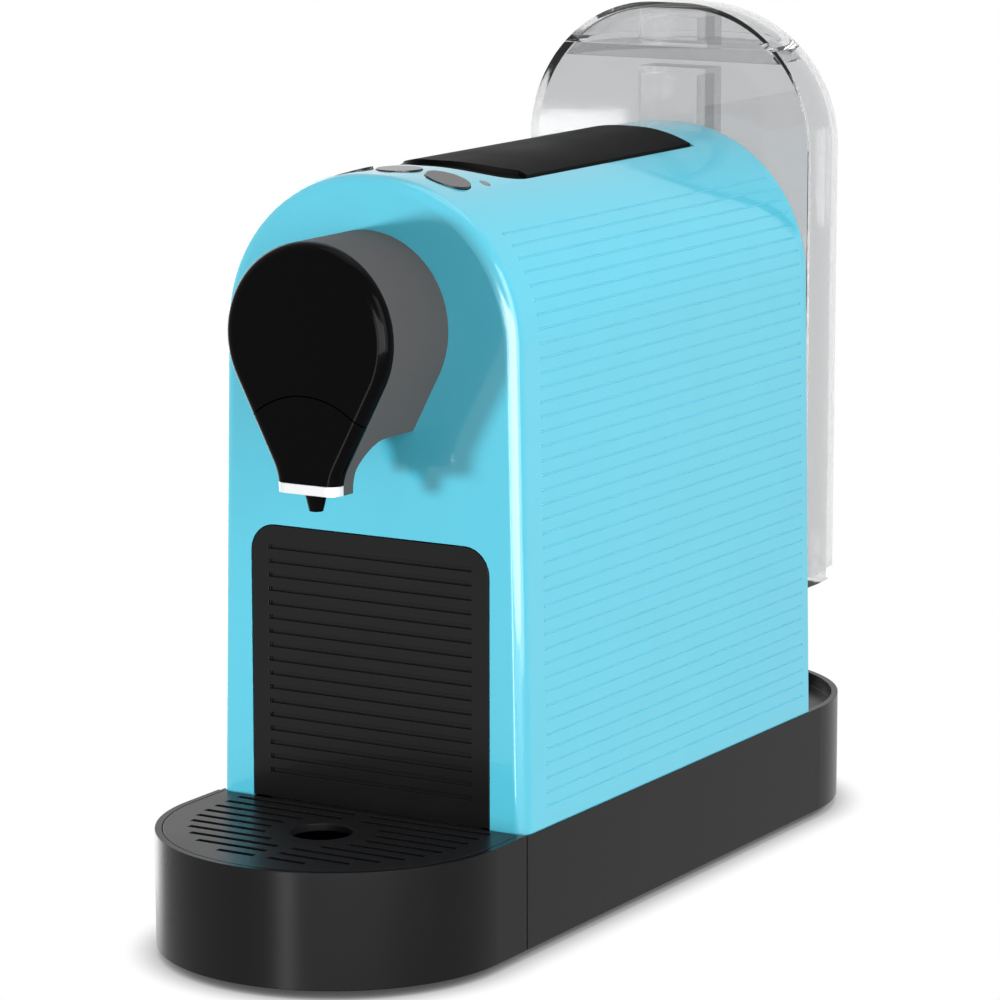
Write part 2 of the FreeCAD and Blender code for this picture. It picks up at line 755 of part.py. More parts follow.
# Housing: the coloured arch shell with its openings and side grooves.
housing_body = arch_body("housing_body", "body_front", "body_depth", "0", "base_top")
doc.recompute()
outer_pad = housing_body.Tip
front_edges = []
for index, edge in enumerate(outer_pad.Shape.Edges, start=1):
    ends = [vertex.Point for vertex in edge.Vertexes]
    on_front = all(abs(point.y - num("body_front")) < num("pin_gap") for point in ends)
    on_foot = all(abs(point.z - num("base_top")) < num("pin_gap") for point in ends)
    if on_front and not on_foot:
        front_edges.append(f"Edge{index}")
front_round = housing_body.newObject("PartDesign::Fillet", "front_round")
front_round.Base = (outer_pad, front_edges)
front_round.setExpression("Radius", formula("front_edge_radius"))
hollow_half = "body_half_width - body_wall / cos(side_draft)"
hollow_sketch = arch_sketch(housing_body, "hollow_arch", "body_rear", hollow_half,
                            "arch_radius - body_wall", "base_top", "body_top - body_wall", "side_draft")
pocket(housing_body, "hollow", hollow_sketch, "body_depth - body_wall", reverse=True)
opening = rounded_panel(housing_body, "bin_opening_outline", "body_front", "panel_half_width + fit_gap",
                        "base_top", "base_top + panel_height + fit_gap", "panel_corner + fit_gap")
pocket(housing_body, "bin_opening", opening, "2 * body_wall")
outlet = circle_sketch(housing_body, "outlet_outline", "body_front", "head_z", "head_bore")
pocket(housing_body, "outlet_opening", outlet, "2 * body_wall")


def lever_plan(name, grow, rear_grow, z, rise):
    """Prism of the lever's outline seen from above: straight sides with a half-round nose."""
    radius = f"lever_half_width + {grow}"
    centre = "body_front + lever_nose + lever_half_width"
    return fuse(
        name,
        mid_box(f"{name}_strip", radius, centre, z,
                f"lever_length - lever_half_width + {rear_grow}", rise),
        cylinder(f"{name}_nose", "0", centre, z, radius, rise),
    )


def side_grooves():
    """Round cutters along both sides, spaced evenly over the arch, each with a dimple at its front end."""
    cutters = []
    lean = math.radians(num("side_draft"))
    centre_x = num("arch_flat")
    centre_z = num("arch_centre_z")
    radius = num("arch_radius")
    side_x = centre_x + radius * math.cos(lean)
    side_z = centre_z + radius * math.sin(lean)
    straight = (side_z - num("base_top")) / math.cos(lean)
    for row in range(int(num("groove_count"))):
        along = num("groove_start") + row * num("groove_pitch")
        if along <= straight:
            x = num("body_half_width") - along * math.sin(lean)
            z = num("base_top") + along * math.cos(lean)
        else:
            turn = lean + (along - straight) / radius
            x = centre_x + radius * math.cos(turn)
            z = centre_z + radius * math.sin(turn)
        for side in (-1, 1):
            start = FreeCAD.Vector(side * x, num("body_front + groove_inset"), z)
            groove = Part.makeCylinder(num("groove_radius"), num("groove_length"), start,
                                       FreeCAD.Vector(0, 1, 0))
            cutters.append(groove.fuse(Part.makeSphere(num("groove_end_radius"), start)))
    return Part.makeCompound(cutters)


BUTTON_ACROSS = {"left": "-button_spread", "centre": "0", "right": "button_spread"}
BUTTON_Y = "body_front + button_setback"
LENS_Y = "body_front + lens_setback"
groove_tools = doc.addObject("Part::Feature", "side_groove_tools")
groove_tools.Shape = side_grooves()
button_holes = []
for side, across in BUTTON_ACROSS.items():
    hole = cylinder(f"button_hole_{side}", "0", "0", "0", "button_radius + button_gap", "4 * body_wall")
    button_holes.append(tilted(hole, across, BUTTON_Y, "2 * body_wall"))
lens_hole = cylinder("lens_hole", "0", "0", "0", "lens_radius + fit_gap / 2", "4 * body_wall")
tilted(lens_hole, "lens_across", LENS_Y, "2 * body_wall")
housing_slots = fuse(
    "housing_slots",
    lever_plan("lever_opening", "lever_gap", "lever_rear_gap", "body_top - lever_half_width / 2",
               "lever_half_width"),
    lens_hole,
    *button_holes,
)
sub_part("housing", cut("housing", cut("housing_open", housing_body, housing_slots), groove_tools))

# Rear panel: flat cover let into the back of the housing, with vents and the water inlet hole.
rear_cover = arch_body("rear_cover", "body_rear - body_wall", "body_wall", "body_wall + fit_gap",
                       "base_top + fit_gap")
vents = [
    mid_box(f"vent_{i}", "vent_half_length", "body_rear - 2 * body_wall",
            f"body_top - 8 * vent_pitch - {i} * vent_pitch", "3 * body_wall", "vent_width")
    for i in range(int(num("vent_count")))
]
PIPE_Z = "tank_low - standoff * 3"
sub_part("rear_panel", cut(
    "rear_panel",
    rear_cover,
    cylinder("rear_pipe_hole", "0", "body_rear - 2 * body_wall", PIPE_Z, "pipe_radius + fit_gap",
             "3 * body_wall", "Y"),
    *vents,
))

# Brew head: black balloon-shaped shell on the housing's face, closed by a two-piece front cap.


def balloon_sketch(body, name, y, inset):
    """Balloon outline: large circle, straight flanks and a flared neck."""
    sketch = sketch_on(body, name, "XZ_Plane", f"-({y})")
    draw_in = num(inset)
    top_z = num("head_z")
    big = num("head_radius") - draw_in
    flare = num("flare_radius") + draw_in
    flare_x = num("neck_half + flare_radius")
    flare_z = num("base_top + neck_rise")
    neck = num("neck_half") - draw_in
    low = num("base_top + neck_bottom") + draw_in
    gap = math.hypot(flare_x, flare_z - top_z)
    lean = math.atan2(flare_z - top_z, flare_x) + math.acos((big + flare) / gap)
    flank = (big * math.cos(lean), top_z + big * math.sin(lean))
    hip = (flare_x - flare * math.cos(lean), flare_z - flare * math.sin(lean))
    turn = math.degrees(lean)
    sketch.addGeometry(arc(0, top_z, big, turn, 180 - turn))
    sketch.addGeometry(line(-flank[0], flank[1], -hip[0], hip[1]))
    sketch.addGeometry(arc(-flare_x, flare_z, flare, 0, -turn))
    sketch.addGeometry(line(-neck, flare_z, -neck, low))
    sketch.addGeometry(line(-neck, low, neck, low))
    sketch.addGeometry(line(neck, low, neck, flare_z))
    sketch.addGeometry(arc(flare_x, flare_z, flare, 180 + turn, 180))
    sketch.addGeometry(line(hip[0], hip[1], flank[0], flank[1]))
    for first, first_end, second, second_end in (
        (0, 2, 1, 1), (1, 2, 2, 2), (2, 1, 3, 1), (5, 2, 6, 2), (6, 1, 7, 1), (7, 2, 0, 1),
    ):
        sketch.addConstraint(Sketcher.Constraint("Tangent", first, first_end, second, second_end))
    sketch.addConstraint(Sketcher.Constraint("Coincident", 3, 2, 4, 1))
    sketch.addConstraint(Sketcher.Constraint("Coincident", 4, 2, 5, 1))
    sketch.addConstraint(Sketcher.Constraint("Symmetric", 3, 2, 4, 2, -2))
    sketch.addConstraint(Sketcher.Constraint("Symmetric", 2, 3, 6, 3, -2))
    sketch.addConstraint(Sketcher.Constraint("PointOnObject", 0, 3, -2))
    sketch.addConstraint(Sketcher.Constraint("Equal", 2, 6))
    sketch.addConstraint(Sketcher.Constraint("Vertical", 5))
    named(sketch, "height", "head_z", "DistanceY", -1, 1, 0, 3, top_z)
    named(sketch, "radius", f"head_radius - ({inset})", "Radius", 0, big)
    named(sketch, "flare", f"flare_radius + ({inset})", "Radius", 2, flare)
    named(sketch, "neck", f"neck_half - ({inset})", "DistanceX", -1, 1, 4, 2, neck)
    named(sketch, "low", f"base_top + neck_bottom + ({inset})", "DistanceY", -1, 1, 4, 2, low)
    named(sketch, "flare_height", "base_top + neck_rise", "DistanceY", -1, 1, 6, 3, flare_z)
    return sketch


def balloon(name, y, depth, inset):
    body = doc.addObject("PartDesign::Body", name)
    sketch = balloon_sketch(body, f"{name}_outline", y, inset)
    pad(body, f"{name}_pad", sketch, depth)
    return body


def chin(name, grow):
    """Block below the head's chin, rounded where it meets the neck."""
    top = f"base_top + chin_rise + {grow}"
    front = f"head_front + neck_depth - {grow}"
    block = mid_box(f"{name}_block", "2 * head_radius", front, "base_top",
                    f"body_front + body_wall - ({front})", f"{top} - base_top")
    corner = mid_box(f"{name}_corner", "2 * head_radius", front, f"{top} - (chin_radius + {grow})",
                     f"chin_radius + {grow}", f"chin_radius + {grow}")
    round_bar = cylinder(f"{name}_round", "-2 * head_radius", f"{front} + chin_radius + {grow}",
                         f"{top} - (chin_radius + {grow})", f"chin_radius + {grow}", "4 * head_radius", "X")
    return fuse(name, cut(f"{name}_square", block, corner), common(f"{name}_curve", corner, round_bar))


NOZZLE_Y = "head_front + (neck_depth - head_wall) / 2"
NOZZLE_Z = "base_top + neck_bottom"
DROP_RADIUS = "nozzle_radius / 2 - fit_gap"
head_solid = cut("head_solid", balloon("head_outer", "body_front", "head_depth", "0"),
                 chin("chin_outer", "0"))
head_hollow = cut("head_hollow", balloon("head_inner", "body_front - head_wall", "head_depth", "head_wall"),
                  chin("chin_inner", "head_wall"))
sub_part("head_housing", cut(
    "head_housing",
    head_solid,
    head_hollow,
    cylinder("head_outlet", "0", "body_front - head_depth / 2", "head_z", "head_bore", "head_depth", "Y"),
    cylinder("head_nozzle_hole", "0", NOZZLE_Y, f"{NOZZLE_Z} - head_wall", f"{DROP_RADIUS} + pin_gap",
             "3 * head_wall"),
))
cap_blank = balloon("cap_blank", "head_front", "cap_depth", "0")
doc.recompute()
cap_pad = cap_blank.Tip
cap_edges = []
for index, edge in enumerate(cap_pad.Shape.Edges, start=1):
    ends = [vertex.Point for vertex in edge.Vertexes]
    on_face = all(abs(point.y - num("head_front - cap_depth")) < num("pin_gap") for point in ends)
    on_foot = all(abs(point.z - num(NOZZLE_Z)) < num("pin_gap") for point in ends)
    if on_face and not on_foot:
        cap_edges.append(f"Edge{index}")
cap_round = cap_blank.newObject("PartDesign::Fillet", "cap_round")
cap_round.Base = (cap_pad, cap_edges)
cap_round.setExpression("Radius", formula("cap_edge"))
COVER_ARC_Z = "base_top + cover_arc_rise - cover_arc_radius"
cover_disc = cylinder("cover_disc", "0", "head_front - 2 * cap_depth", COVER_ARC_Z, "cover_arc_radius",
                      "3 * cap_depth", "Y")
cover_reach = cylinder("cover_reach", "0", "head_front - 2 * cap_depth", COVER_ARC_Z,
                       "cover_arc_radius + seam_gap", "3 * cap_depth", "Y")
neck_block = mid_box("neck_block", "head_radius", "head_front - 2 * cap_depth", "base_top",
                     "3 * cap_depth", f"{COVER_ARC_Z} - base_top")
trim_block = mid_box("trim_block", "head_radius", "head_front - 2 * cap_depth", "base_top",
                     "3 * cap_depth", "neck_bottom + trim_rise")
trim_clear = mid_box("trim_clear", "head_radius", "head_front - 2 * cap_depth", "base_top",
                     "3 * cap_depth", "neck_bottom + trim_rise + seam_gap / 4")
sub_part("head_cap", cut("head_cap", cap_blank, cover_reach, neck_block))
cover_blank = common("cover_blank", cap_blank, fuse("cover_zone", cover_disc, neck_block))
sub_part("spout_cover", cut("spout_cover", cover_blank, trim_clear))
sub_part("spout_trim", common("spout_trim", cap_blank, trim_block))

# Nozzle: short black spout tip below the neck, with the outlet bore.
sub_part("nozzle", cut(
    "nozzle",
    cone("nozzle_tip", "0", NOZZLE_Y, f"{NOZZLE_Z} - nozzle_length", "nozzle_tip_radius", "nozzle_radius",
         "nozzle_length"),
    cylinder("nozzle_hole", "0", NOZZLE_Y, f"{NOZZLE_Z} - 2 * nozzle_length", "nozzle_bore",
             "4 * nozzle_length"),
))

# Brew frame: two side plates on the deck, tied by cross bars, that carry the brew unit and lever.
ARM_LOW = "head_z - pierce_radius - frame_thick"


def frame_side(name, sign):
    """One side plate with its foot on the deck and its arm reaching to the front."""
    near = "frame_half_gap" if sign > 0 else "-frame_half_gap - frame_thick"
    low = box(f"{name}_low", near, "frame_front", "deck_top", "frame_thick", "frame_rear - frame_front",
              "frame_top - deck_top")
    arm = box(f"{name}_arm", near, "body_front + body_wall", ARM_LOW, "frame_thick",
              "frame_front - body_front - body_wall", f"frame_top - ({ARM_LOW})")
    return [low, arm]


frame_bars = [
    mid_box("frame_bar_low", "frame_half_gap", "frame_rear - bridge_depth", "deck_top", "bridge_depth",
            "frame_thick"),
    mid_box("frame_bridge", "frame_half_gap", "frame_rear - bridge_depth", "frame_top - bridge_height",
            "bridge_depth", "bridge_height"),
]
for side, near in {"right": "ear_half_gap", "left": "-ear_half_gap - ear_thick"}.items():
    frame_bars.append(box(f"frame_ear_{side}", near, "hinge_y - 2 * hinge_radius",
                          "frame_top - bridge_height", "ear_thick", "4 * hinge_radius",
                          "hinge_z - frame_top + bridge_height"))
    frame_bars.append(cylinder(f"frame_ear_round_{side}", near, "hinge_y", "hinge_z", "2 * hinge_radius",
                               "ear_thick", "X"))
sub_part("brew_frame", cut(
    "brew_frame",
    fuse("frame_whole", *frame_side("frame_left", -1), *frame_side("frame_right", 1), *frame_bars),
    cylinder("frame_pin_hole", "-frame_half_gap", "hinge_y", "hinge_z", "hinge_radius + pin_gap",
             "2 * frame_half_gap", "X"),
))

# Piercing plate: fixed front half of the brew chamber, with outlet bore and needles.
NEEDLE_COUNT = 3
needles = [
    cone(f"needle_{i}", f"needle_ring * cos({i} * 360 / {NEEDLE_COUNT})", "pierce_back",
         f"head_z + needle_ring * sin({i} * 360 / {NEEDLE_COUNT})", "needle_radius", "needle_radius / 4",
         "needle_length", "Y")
    for i in range(NEEDLE_COUNT)
]
ROD_SIDES = ("", "-")
sub_part("piercing_plate", cut(
    "piercing_plate",
    fuse(
        "pierce_whole",
        mid_box("pierce_blank", "frame_half_gap", "pierce_front", "head_z - pierce_radius", "pierce_thick",
                "2 * pierce_radius"),
        *needles,
    ),
    cylinder("pierce_bore", "0", "pierce_front - pierce_thick", "head_z", "tail_radius",
             "3 * pierce_thick", "Y"),
    *[
        cylinder(f"pierce_rod_hole_{i}", f"{sign}rod_reach", "pierce_front - pierce_thick", "head_z",
                 "rod_radius + pin_gap", "3 * pierce_thick", "Y")
        for i, sign in enumerate(ROD_SIDES)
    ],
))

# Outlet tube: carries the coffee from the chamber through the head to the nozzle.
sub_part("outlet_tube", fuse(
    "outlet_tube",
    cylinder("outlet_run", "0", NOZZLE_Y, "head_z", "tail_radius - pin_gap", f"pierce_back - ({NOZZLE_Y})",
             "Y"),
    cylinder("outlet_drop", "0", NOZZLE_Y, NOZZLE_Z, DROP_RADIUS, f"head_z - ({NOZZLE_Z})"),
))

# Guide rods and their rear carrier: two steel rods along which the capsule cage runs.
ROD_BACK = "cross_back + tail_length"
sub_part("guide_rods", group("guide_rods", *[
    cylinder(f"guide_rod_{i}", f"{sign}rod_reach", "pierce_front", "head_z", "rod_radius",
             f"{ROD_BACK} - pierce_front", "Y")
    for i, sign in enumerate(ROD_SIDES)
]))
sub_part("rod_carrier", cut(
    "rod_carrier",
    mid_box("rod_carrier_bar", "frame_half_gap", f"{ROD_BACK} - frame_thick", "head_z - 2 * sleeve_radius",
            "2 * frame_thick", "4 * sleeve_radius"),
    cylinder("rod_carrier_middle", "0", f"{ROD_BACK} - 3 * frame_thick", "head_z", "sleeve_radius + pin_gap",
             "6 * frame_thick", "Y"),
    *[
        cylinder(f"rod_carrier_hole_{i}", f"{sign}rod_reach", f"{ROD_BACK} - 3 * frame_thick", "head_z",
                 "rod_radius + pin_gap", "6 * frame_thick", "Y")
        for i, sign in enumerate(ROD_SIDES)
    ],
))

# Feed sleeve: fixed telescopic water inlet round the tail of the cage.
sub_part("feed_sleeve", cut(
    "feed_sleeve",
    cylinder("sleeve_outer", "0", "sleeve_front", "head_z", "sleeve_radius", "sleeve_length", "Y"),
    cylinder("sleeve_bore", "0", "sleeve_front - sleeve_overlap", "head_z", "tail_radius + pin_gap",
             "sleeve_length", "Y"),
))

# Capsule cage: the moving half of the chamber, with its crosshead, lug, tail and feed bore.
CROSS_HALF = "rod_reach + rod_radius + base_wall"
LUG_HALF = "link_half_gap - fit_gap"
cage_parts = [
    cylinder("cage_cup", "0", "cage_front", "head_z", "cage_radius", "cage_length", "Y"),
    mid_box("cage_crosshead", CROSS_HALF, "cross_y - crosshead_depth / 2", "head_z - crosshead_height / 2",
            "crosshead_depth", "crosshead_height"),
    mid_box("cage_lug", LUG_HALF, "cross_y - crosshead_depth / 4", "head_z", "crosshead_depth / 2",
            "crosshead_height / 2 + lug_rise"),
    cylinder("cage_neck", "0", "cage_front + cage_length", "head_z", "link_half_gap / 2",
             "cross_y - cage_front - cage_length", "Y"),
    cylinder("cage_tail", "0", "cross_y", "head_z", "tail_radius", "crosshead_depth / 2 + tail_length", "Y"),
]
cage_tools = [
    cylinder("cage_bore_hole", "0", "cage_front - cage_depth", "head_z", "cage_bore", "2 * cage_depth", "Y"),
    cylinder("cage_feed", "0", "cage_front", "head_z", "pipe_bore", "base_length", "Y"),
    cylinder("cage_pin_hole", "-base_radius", "cross_y", "cross_pin_z", "screw_radius + pin_gap",
             "2 * base_radius", "X"),
    *[
        cylinder(f"cage_rod_hole_{i}", f"{sign}rod_reach", "cage_front", "head_z", "rod_radius + pin_gap",
                 "base_length", "Y")
        for i, sign in enumerate(ROD_SIDES)
    ],
]
sub_part("capsule_cage", cut("capsule_cage", fuse("cage_whole", *cage_parts), *cage_tools))

# Cage seal: soft ring in the mouth of the cage.
sub_part("cage_seal", cut(
    "cage_seal",
    cylinder("cage_seal_outer", "0", "cage_front - seal_thick", "head_z", "cage_radius - fit_gap",
             "seal_thick", "Y"),
    cylinder("cage_seal_inner", "0", "cage_front - 2 * seal_thick", "head_z", "cage_bore",
             "4 * seal_thick", "Y"),
))

# Cross pin and link bars: the links swing on the pin and reach back to the lever's crank.
sub_part("cross_pin", cylinder("cross_pin", "-link_half_gap - link_thick - fit_gap", "cross_y", "cross_pin_z",
                               "screw_radius", "2 * (link_half_gap + link_thick + fit_gap)", "X"))


def link_bar(name, near):
    """Flat bar with an eye at the cross pin and one at the crank."""
    run = "sqrt(link_run ^ 2 + (crank_z - cross_pin_z) ^ 2)"
    lean = "atan((crank_z - cross_pin_z) / link_run)"
    bar = doc.addObject("Part::Box", f"{name}_bar")
    bar.Placement = FreeCAD.Placement(FreeCAD.Vector(), FreeCAD.Rotation(FreeCAD.Vector(1, 0, 0), 1))
    bind(bar, Length="link_thick", Width=run, Height="link_eye", Placement__Rotation__Angle=lean)
    place(bar, near, f"cross_y + link_eye / 2 * sin({lean})", f"cross_pin_z - link_eye / 2 * cos({lean})")
    return cut(
        name,
        fuse(
            f"{name}_whole",
            bar,
            cylinder(f"{name}_front_eye", near, "cross_y", "cross_pin_z", "link_eye", "link_thick", "X"),
            cylinder(f"{name}_rear_eye", near, "crank_y", "crank_z", "link_eye", "link_thick", "X"),
        ),
        cylinder(f"{name}_front_hole", f"{near} - link_thick", "cross_y", "cross_pin_z",
                 "screw_radius + pin_gap", "3 * link_thick", "X"),
        cylinder(f"{name}_rear_hole", f"{near} - link_thick", "crank_y", "crank_z", "screw_radius + pin_gap",
                 "3 * link_thick", "X"),
    )


sub_part("link_bars", group(
    "link_bars",
    link_bar("link_right", "link_half_gap"),
    link_bar("link_left", "-link_half_gap - link_thick"),
))

# Lever cover: black strip that follows the arch, with a scooped nose for the fingers.
COVER_INSET = "lever_thick - lever_proud"
cover_ring = cut(
    "cover_ring",
    arch_body("cover_over", "body_front", "body_depth", "-lever_proud", "base_top"),
    arch_body("cover_under", "body_front", "body_depth", COVER_INSET, "base_top"),
)
scoop_ring = cut(
    "scoop_ring",
    arch_body("scoop_over", "body_front", "lever_nose + lever_half_width", "-2 * lever_proud", "base_top"),
    arch_body("scoop_under", "body_front", "lever_nose + lever_half_width", "scoop_drop - lever_proud",
              "base_top"),
    cylinder("scoop_disc", "0", "body_front + lever_nose + scoop_reach + scoop_radius", "base_top",
             "scoop_radius", "2 * body_height"),
)
sub_part("lever_cover", cut(
    "lever_cover",
    common("cover_strip", cover_ring,
           lever_plan("lever_outline", "0", "0", "base_top", "2 * body_height")),
    scoop_ring,
))

# Lever arms: two cheeks below the cover, bored for the hinge pin and the crank pin.
ARM_SIDES = {"right": "arm_half_gap", "left": "-arm_half_gap - arm_thick"}
arm_limit = arch_body("arm_limit", "body_front", "body_depth", COVER_INSET, "base_top")
arm_cheeks = []
for side, near in ARM_SIDES.items():
    cheek = common(
        f"arm_{side}_cheek",
        arm_limit,
        box(f"arm_{side}_blank", near, "hinge_y - arm_front", "crank_z - link_eye", "arm_thick",
            "arm_front + link_eye", "body_top - crank_z + 2 * link_eye"),
    )
    arm_cheeks.append(cut(
        f"arm_{side}",
        cheek,
        cylinder(f"arm_{side}_hinge", f"{near} - arm_thick", "hinge_y", "hinge_z", "hinge_radius + pin_gap",
                 "3 * arm_thick", "X"),
        cylinder(f"arm_{side}_crank", f"{near} - arm_thick", "crank_y", "crank_z", "screw_radius + pin_gap",
                 "3 * arm_thick", "X"),
    ))
sub_part("lever_arms", group("lever_arms", *arm_cheeks))
sub_part("crank_pin", cylinder("crank_pin", "-link_half_gap + fit_gap", "crank_y", "crank_z", "screw_radius",
                               "2 * (link_half_gap - fit_gap)", "X"))
sub_part("hinge_pin", cylinder("hinge_pin", "-ear_half_gap - ear_thick", "hinge_y", "hinge_z", "hinge_radius",
                               "2 * (ear_half_gap + ear_thick)", "X"))

# Capsule chute: flanged mouth below the lever that drops the capsule in front of the cage.
CHUTE_FRONT = "pierce_back - chute_wall"
sub_part("capsule_chute", cut(
    "capsule_chute",
    fuse(
        "chute_whole",
        mid_box("chute_flange", "frame_half_gap + frame_thick", CHUTE_FRONT, "frame_top",
                "chute_depth + 2 * chute_wall", "chute_wall"),
        mid_box("chute_walls", "chute_half_width + chute_wall", CHUTE_FRONT, "frame_top",
                "chute_depth + 2 * chute_wall", "chute_rise"),
    ),
    mid_box("chute_mouth", "chute_half_width", "pierce_back", "frame_top - chute_wall", "chute_depth",
            "2 * chute_rise"),
))

# Buttons: three round keys let into the arch in front of the lever, each on a short stem.
for side, across in BUTTON_ACROSS.items():
    cap = cylinder(f"button_cap_{side}", "0", "0", "0", "button_radius", "button_thick")
    stem = cylinder(f"button_stem_{side}", "0", "0", "0", "button_stem_radius", "button_stem_length")
    tilted(cap, across, BUTTON_Y, "button_thick - button_proud")
    tilted(stem, across, BUTTON_Y, "button_thick - button_proud + button_stem_length")
    sub_part(f"button_{side}", fuse(f"button_{side}", cap, stem))

# Switch board: small board below the keys with one switch under each stem.
BOARD_TOP = "body_top - board_drop"
switches = []
for side, across in BUTTON_ACROSS.items():
    switch = cylinder(f"switch_{side}", "0", "0", "0", "button_stem_radius * 2", "button_stem_length")
    switches.append(tilted(
        switch, across, BUTTON_Y,
        "button_thick - button_proud + 2 * button_stem_length + button_travel + fit_gap",
    ))
sub_part("switch_board", fuse(
    "switch_board",
    mid_box("switch_blank", "board_half_width", f"{BUTTON_Y} - board_depth / 2", f"{BOARD_TOP} - board_thick",
            "board_depth", "board_thick"),
    *switches,
))

# Switch bracket: plate across the frame's arms with two posts that carry the switch board.
POST_X = "board_half_width - 2 * chute_wall"
sub_part("switch_bracket", fuse(
    "switch_bracket",
    mid_box("bracket_plate", "frame_half_gap + frame_thick", f"{BUTTON_Y} - board_depth / 2", "frame_top",
            "board_depth", "chute_wall"),
    *[
        cylinder(f"bracket_post_{i}", f"{sign}({POST_X})", f"{BUTTON_Y} + board_depth / 3", "frame_top",
                 "chute_wall", f"{BOARD_TOP} - board_thick - frame_top")
        for i, sign in enumerate(ROD_SIDES)
    ],
))

# Indicator lens: small round light pipe beside the lever's nose.
lens = cylinder("indicator_lens", "0", "0", "0", "lens_radius", "lens_thick")
sub_part("indicator_lens", tilted(lens, "lens_across", LENS_Y, "lens_thick"))

# Tank dock: block on the rear deck that carries the tank and holds the water inlet.
dock_block = doc.addObject("PartDesign::Body", "dock_block")
dock_sketch = sketch_on(dock_block, "dock_outline", "XY_Plane", "deck_top")
dock_half = num("dock_half_width")
dock_front = num("body_rear + fit_gap")
dock_back = num("body_rear + fit_gap + dock_depth")
dock_sketch.addGeometry(line(-dock_half, dock_front, dock_half, dock_front))
dock_sketch.addGeometry(line(dock_half, dock_front, dock_half, dock_back))
dock_sketch.addGeometry(line(dock_half, dock_back, -dock_half, dock_back))
dock_sketch.addGeometry(line(-dock_half, dock_back, -dock_half, dock_front))
for corner in range(4):
    dock_sketch.addConstraint(Sketcher.Constraint("Coincident", corner, 2, (corner + 1) % 4, 1))
dock_sketch.addConstraint(Sketcher.Constraint("Vertical", 1))
dock_sketch.addConstraint(Sketcher.Constraint("Symmetric", 0, 1, 0, 2, -2))
dock_sketch.addConstraint(Sketcher.Constraint("Symmetric", 2, 1, 2, 2, -2))
named(dock_sketch, "front", "body_rear + fit_gap", "DistanceY", -1, 1, 0, 2, dock_front)
named(dock_sketch, "depth", "dock_depth", "DistanceY", 1, 1, 1, 2, dock_back - dock_front)
named(dock_sketch, "half_width", "dock_half_width", "DistanceX", -1, 1, 0, 2, dock_half)
pad(dock_block, "dock_pad", dock_sketch, "tank_low - fit_gap - deck_top")
doc.recompute()
dock_pad = dock_block.Tip
dock_edges = []
for index, edge in enumerate(dock_pad.Shape.Edges, start=1):
    ends = [vertex.Point for vertex in edge.Vertexes]
    on_back = all(abs(point.y - dock_back) < num("pin_gap") for point in ends)
    upright = abs(ends[0].z - ends[1].z) > num("dock_corner")
    if on_back and upright:
        dock_edges.append(f"Edge{index}")
dock_round = dock_block.newObject("PartDesign::Fillet", "dock_round")
dock_round.Base = (dock_pad, dock_edges)
dock_round.setExpression("Radius", formula("dock_corner"))
sub_part("tank_dock", cut(
    "tank_dock",
    dock_block,
    cylinder("dock_well", "0", "valve_y", "tank_low - valve_height", "seal_radius + fit_gap",
             "2 * valve_height"),
    cylinder("dock_drop", "0", "valve_y", PIPE_Z, "pipe_radius + pin_gap", f"tank_low - ({PIPE_Z})"),
    cylinder("dock_run", "0", "body_rear", PIPE_Z, "pipe_radius + pin_gap", "valve_y - body_rear", "Y"),
))

# Dock seal and pipe: soft ring in the well and the bent inlet pipe that ends below the valve.
sub_part("dock_seal", cut(
    "dock_seal",
    cylinder("seal_outer", "0", "valve_y", "tank_low - valve_height", "seal_radius",
             "valve_height - 2 * fit_gap"),
    cylinder("seal_inner", "0", "valve_y", "tank_low - 2 * valve_height", "seal_radius - seal_thick",
             "4 * valve_height"),
))
PIPE_TOP = "tank_low - valve_height / 2"
pipe_outer = fuse(
    "pipe_outer",
    cylinder("pipe_run", "0", "body_rear - body_wall", PIPE_Z, "pipe_radius",
             "valve_y - body_rear + body_wall", "Y"),
    cylinder("pipe_rise", "0", "valve_y", PIPE_Z, "pipe_radius", f"{PIPE_TOP} - ({PIPE_Z})"),
)
sub_part("inlet_pipe", cut(
    "inlet_pipe",
    pipe_outer,
    cylinder("pipe_run_bore", "0", "body_rear - 2 * body_wall", PIPE_Z, "pipe_bore",
             "valve_y - body_rear + 2 * body_wall", "Y"),
    cylinder("pipe_rise_bore", "0", "valve_y", PIPE_Z, "pipe_bore", "2 * valve_height"),
))

# Water tank: clear vessel with a flat arched front, turned round at the back.


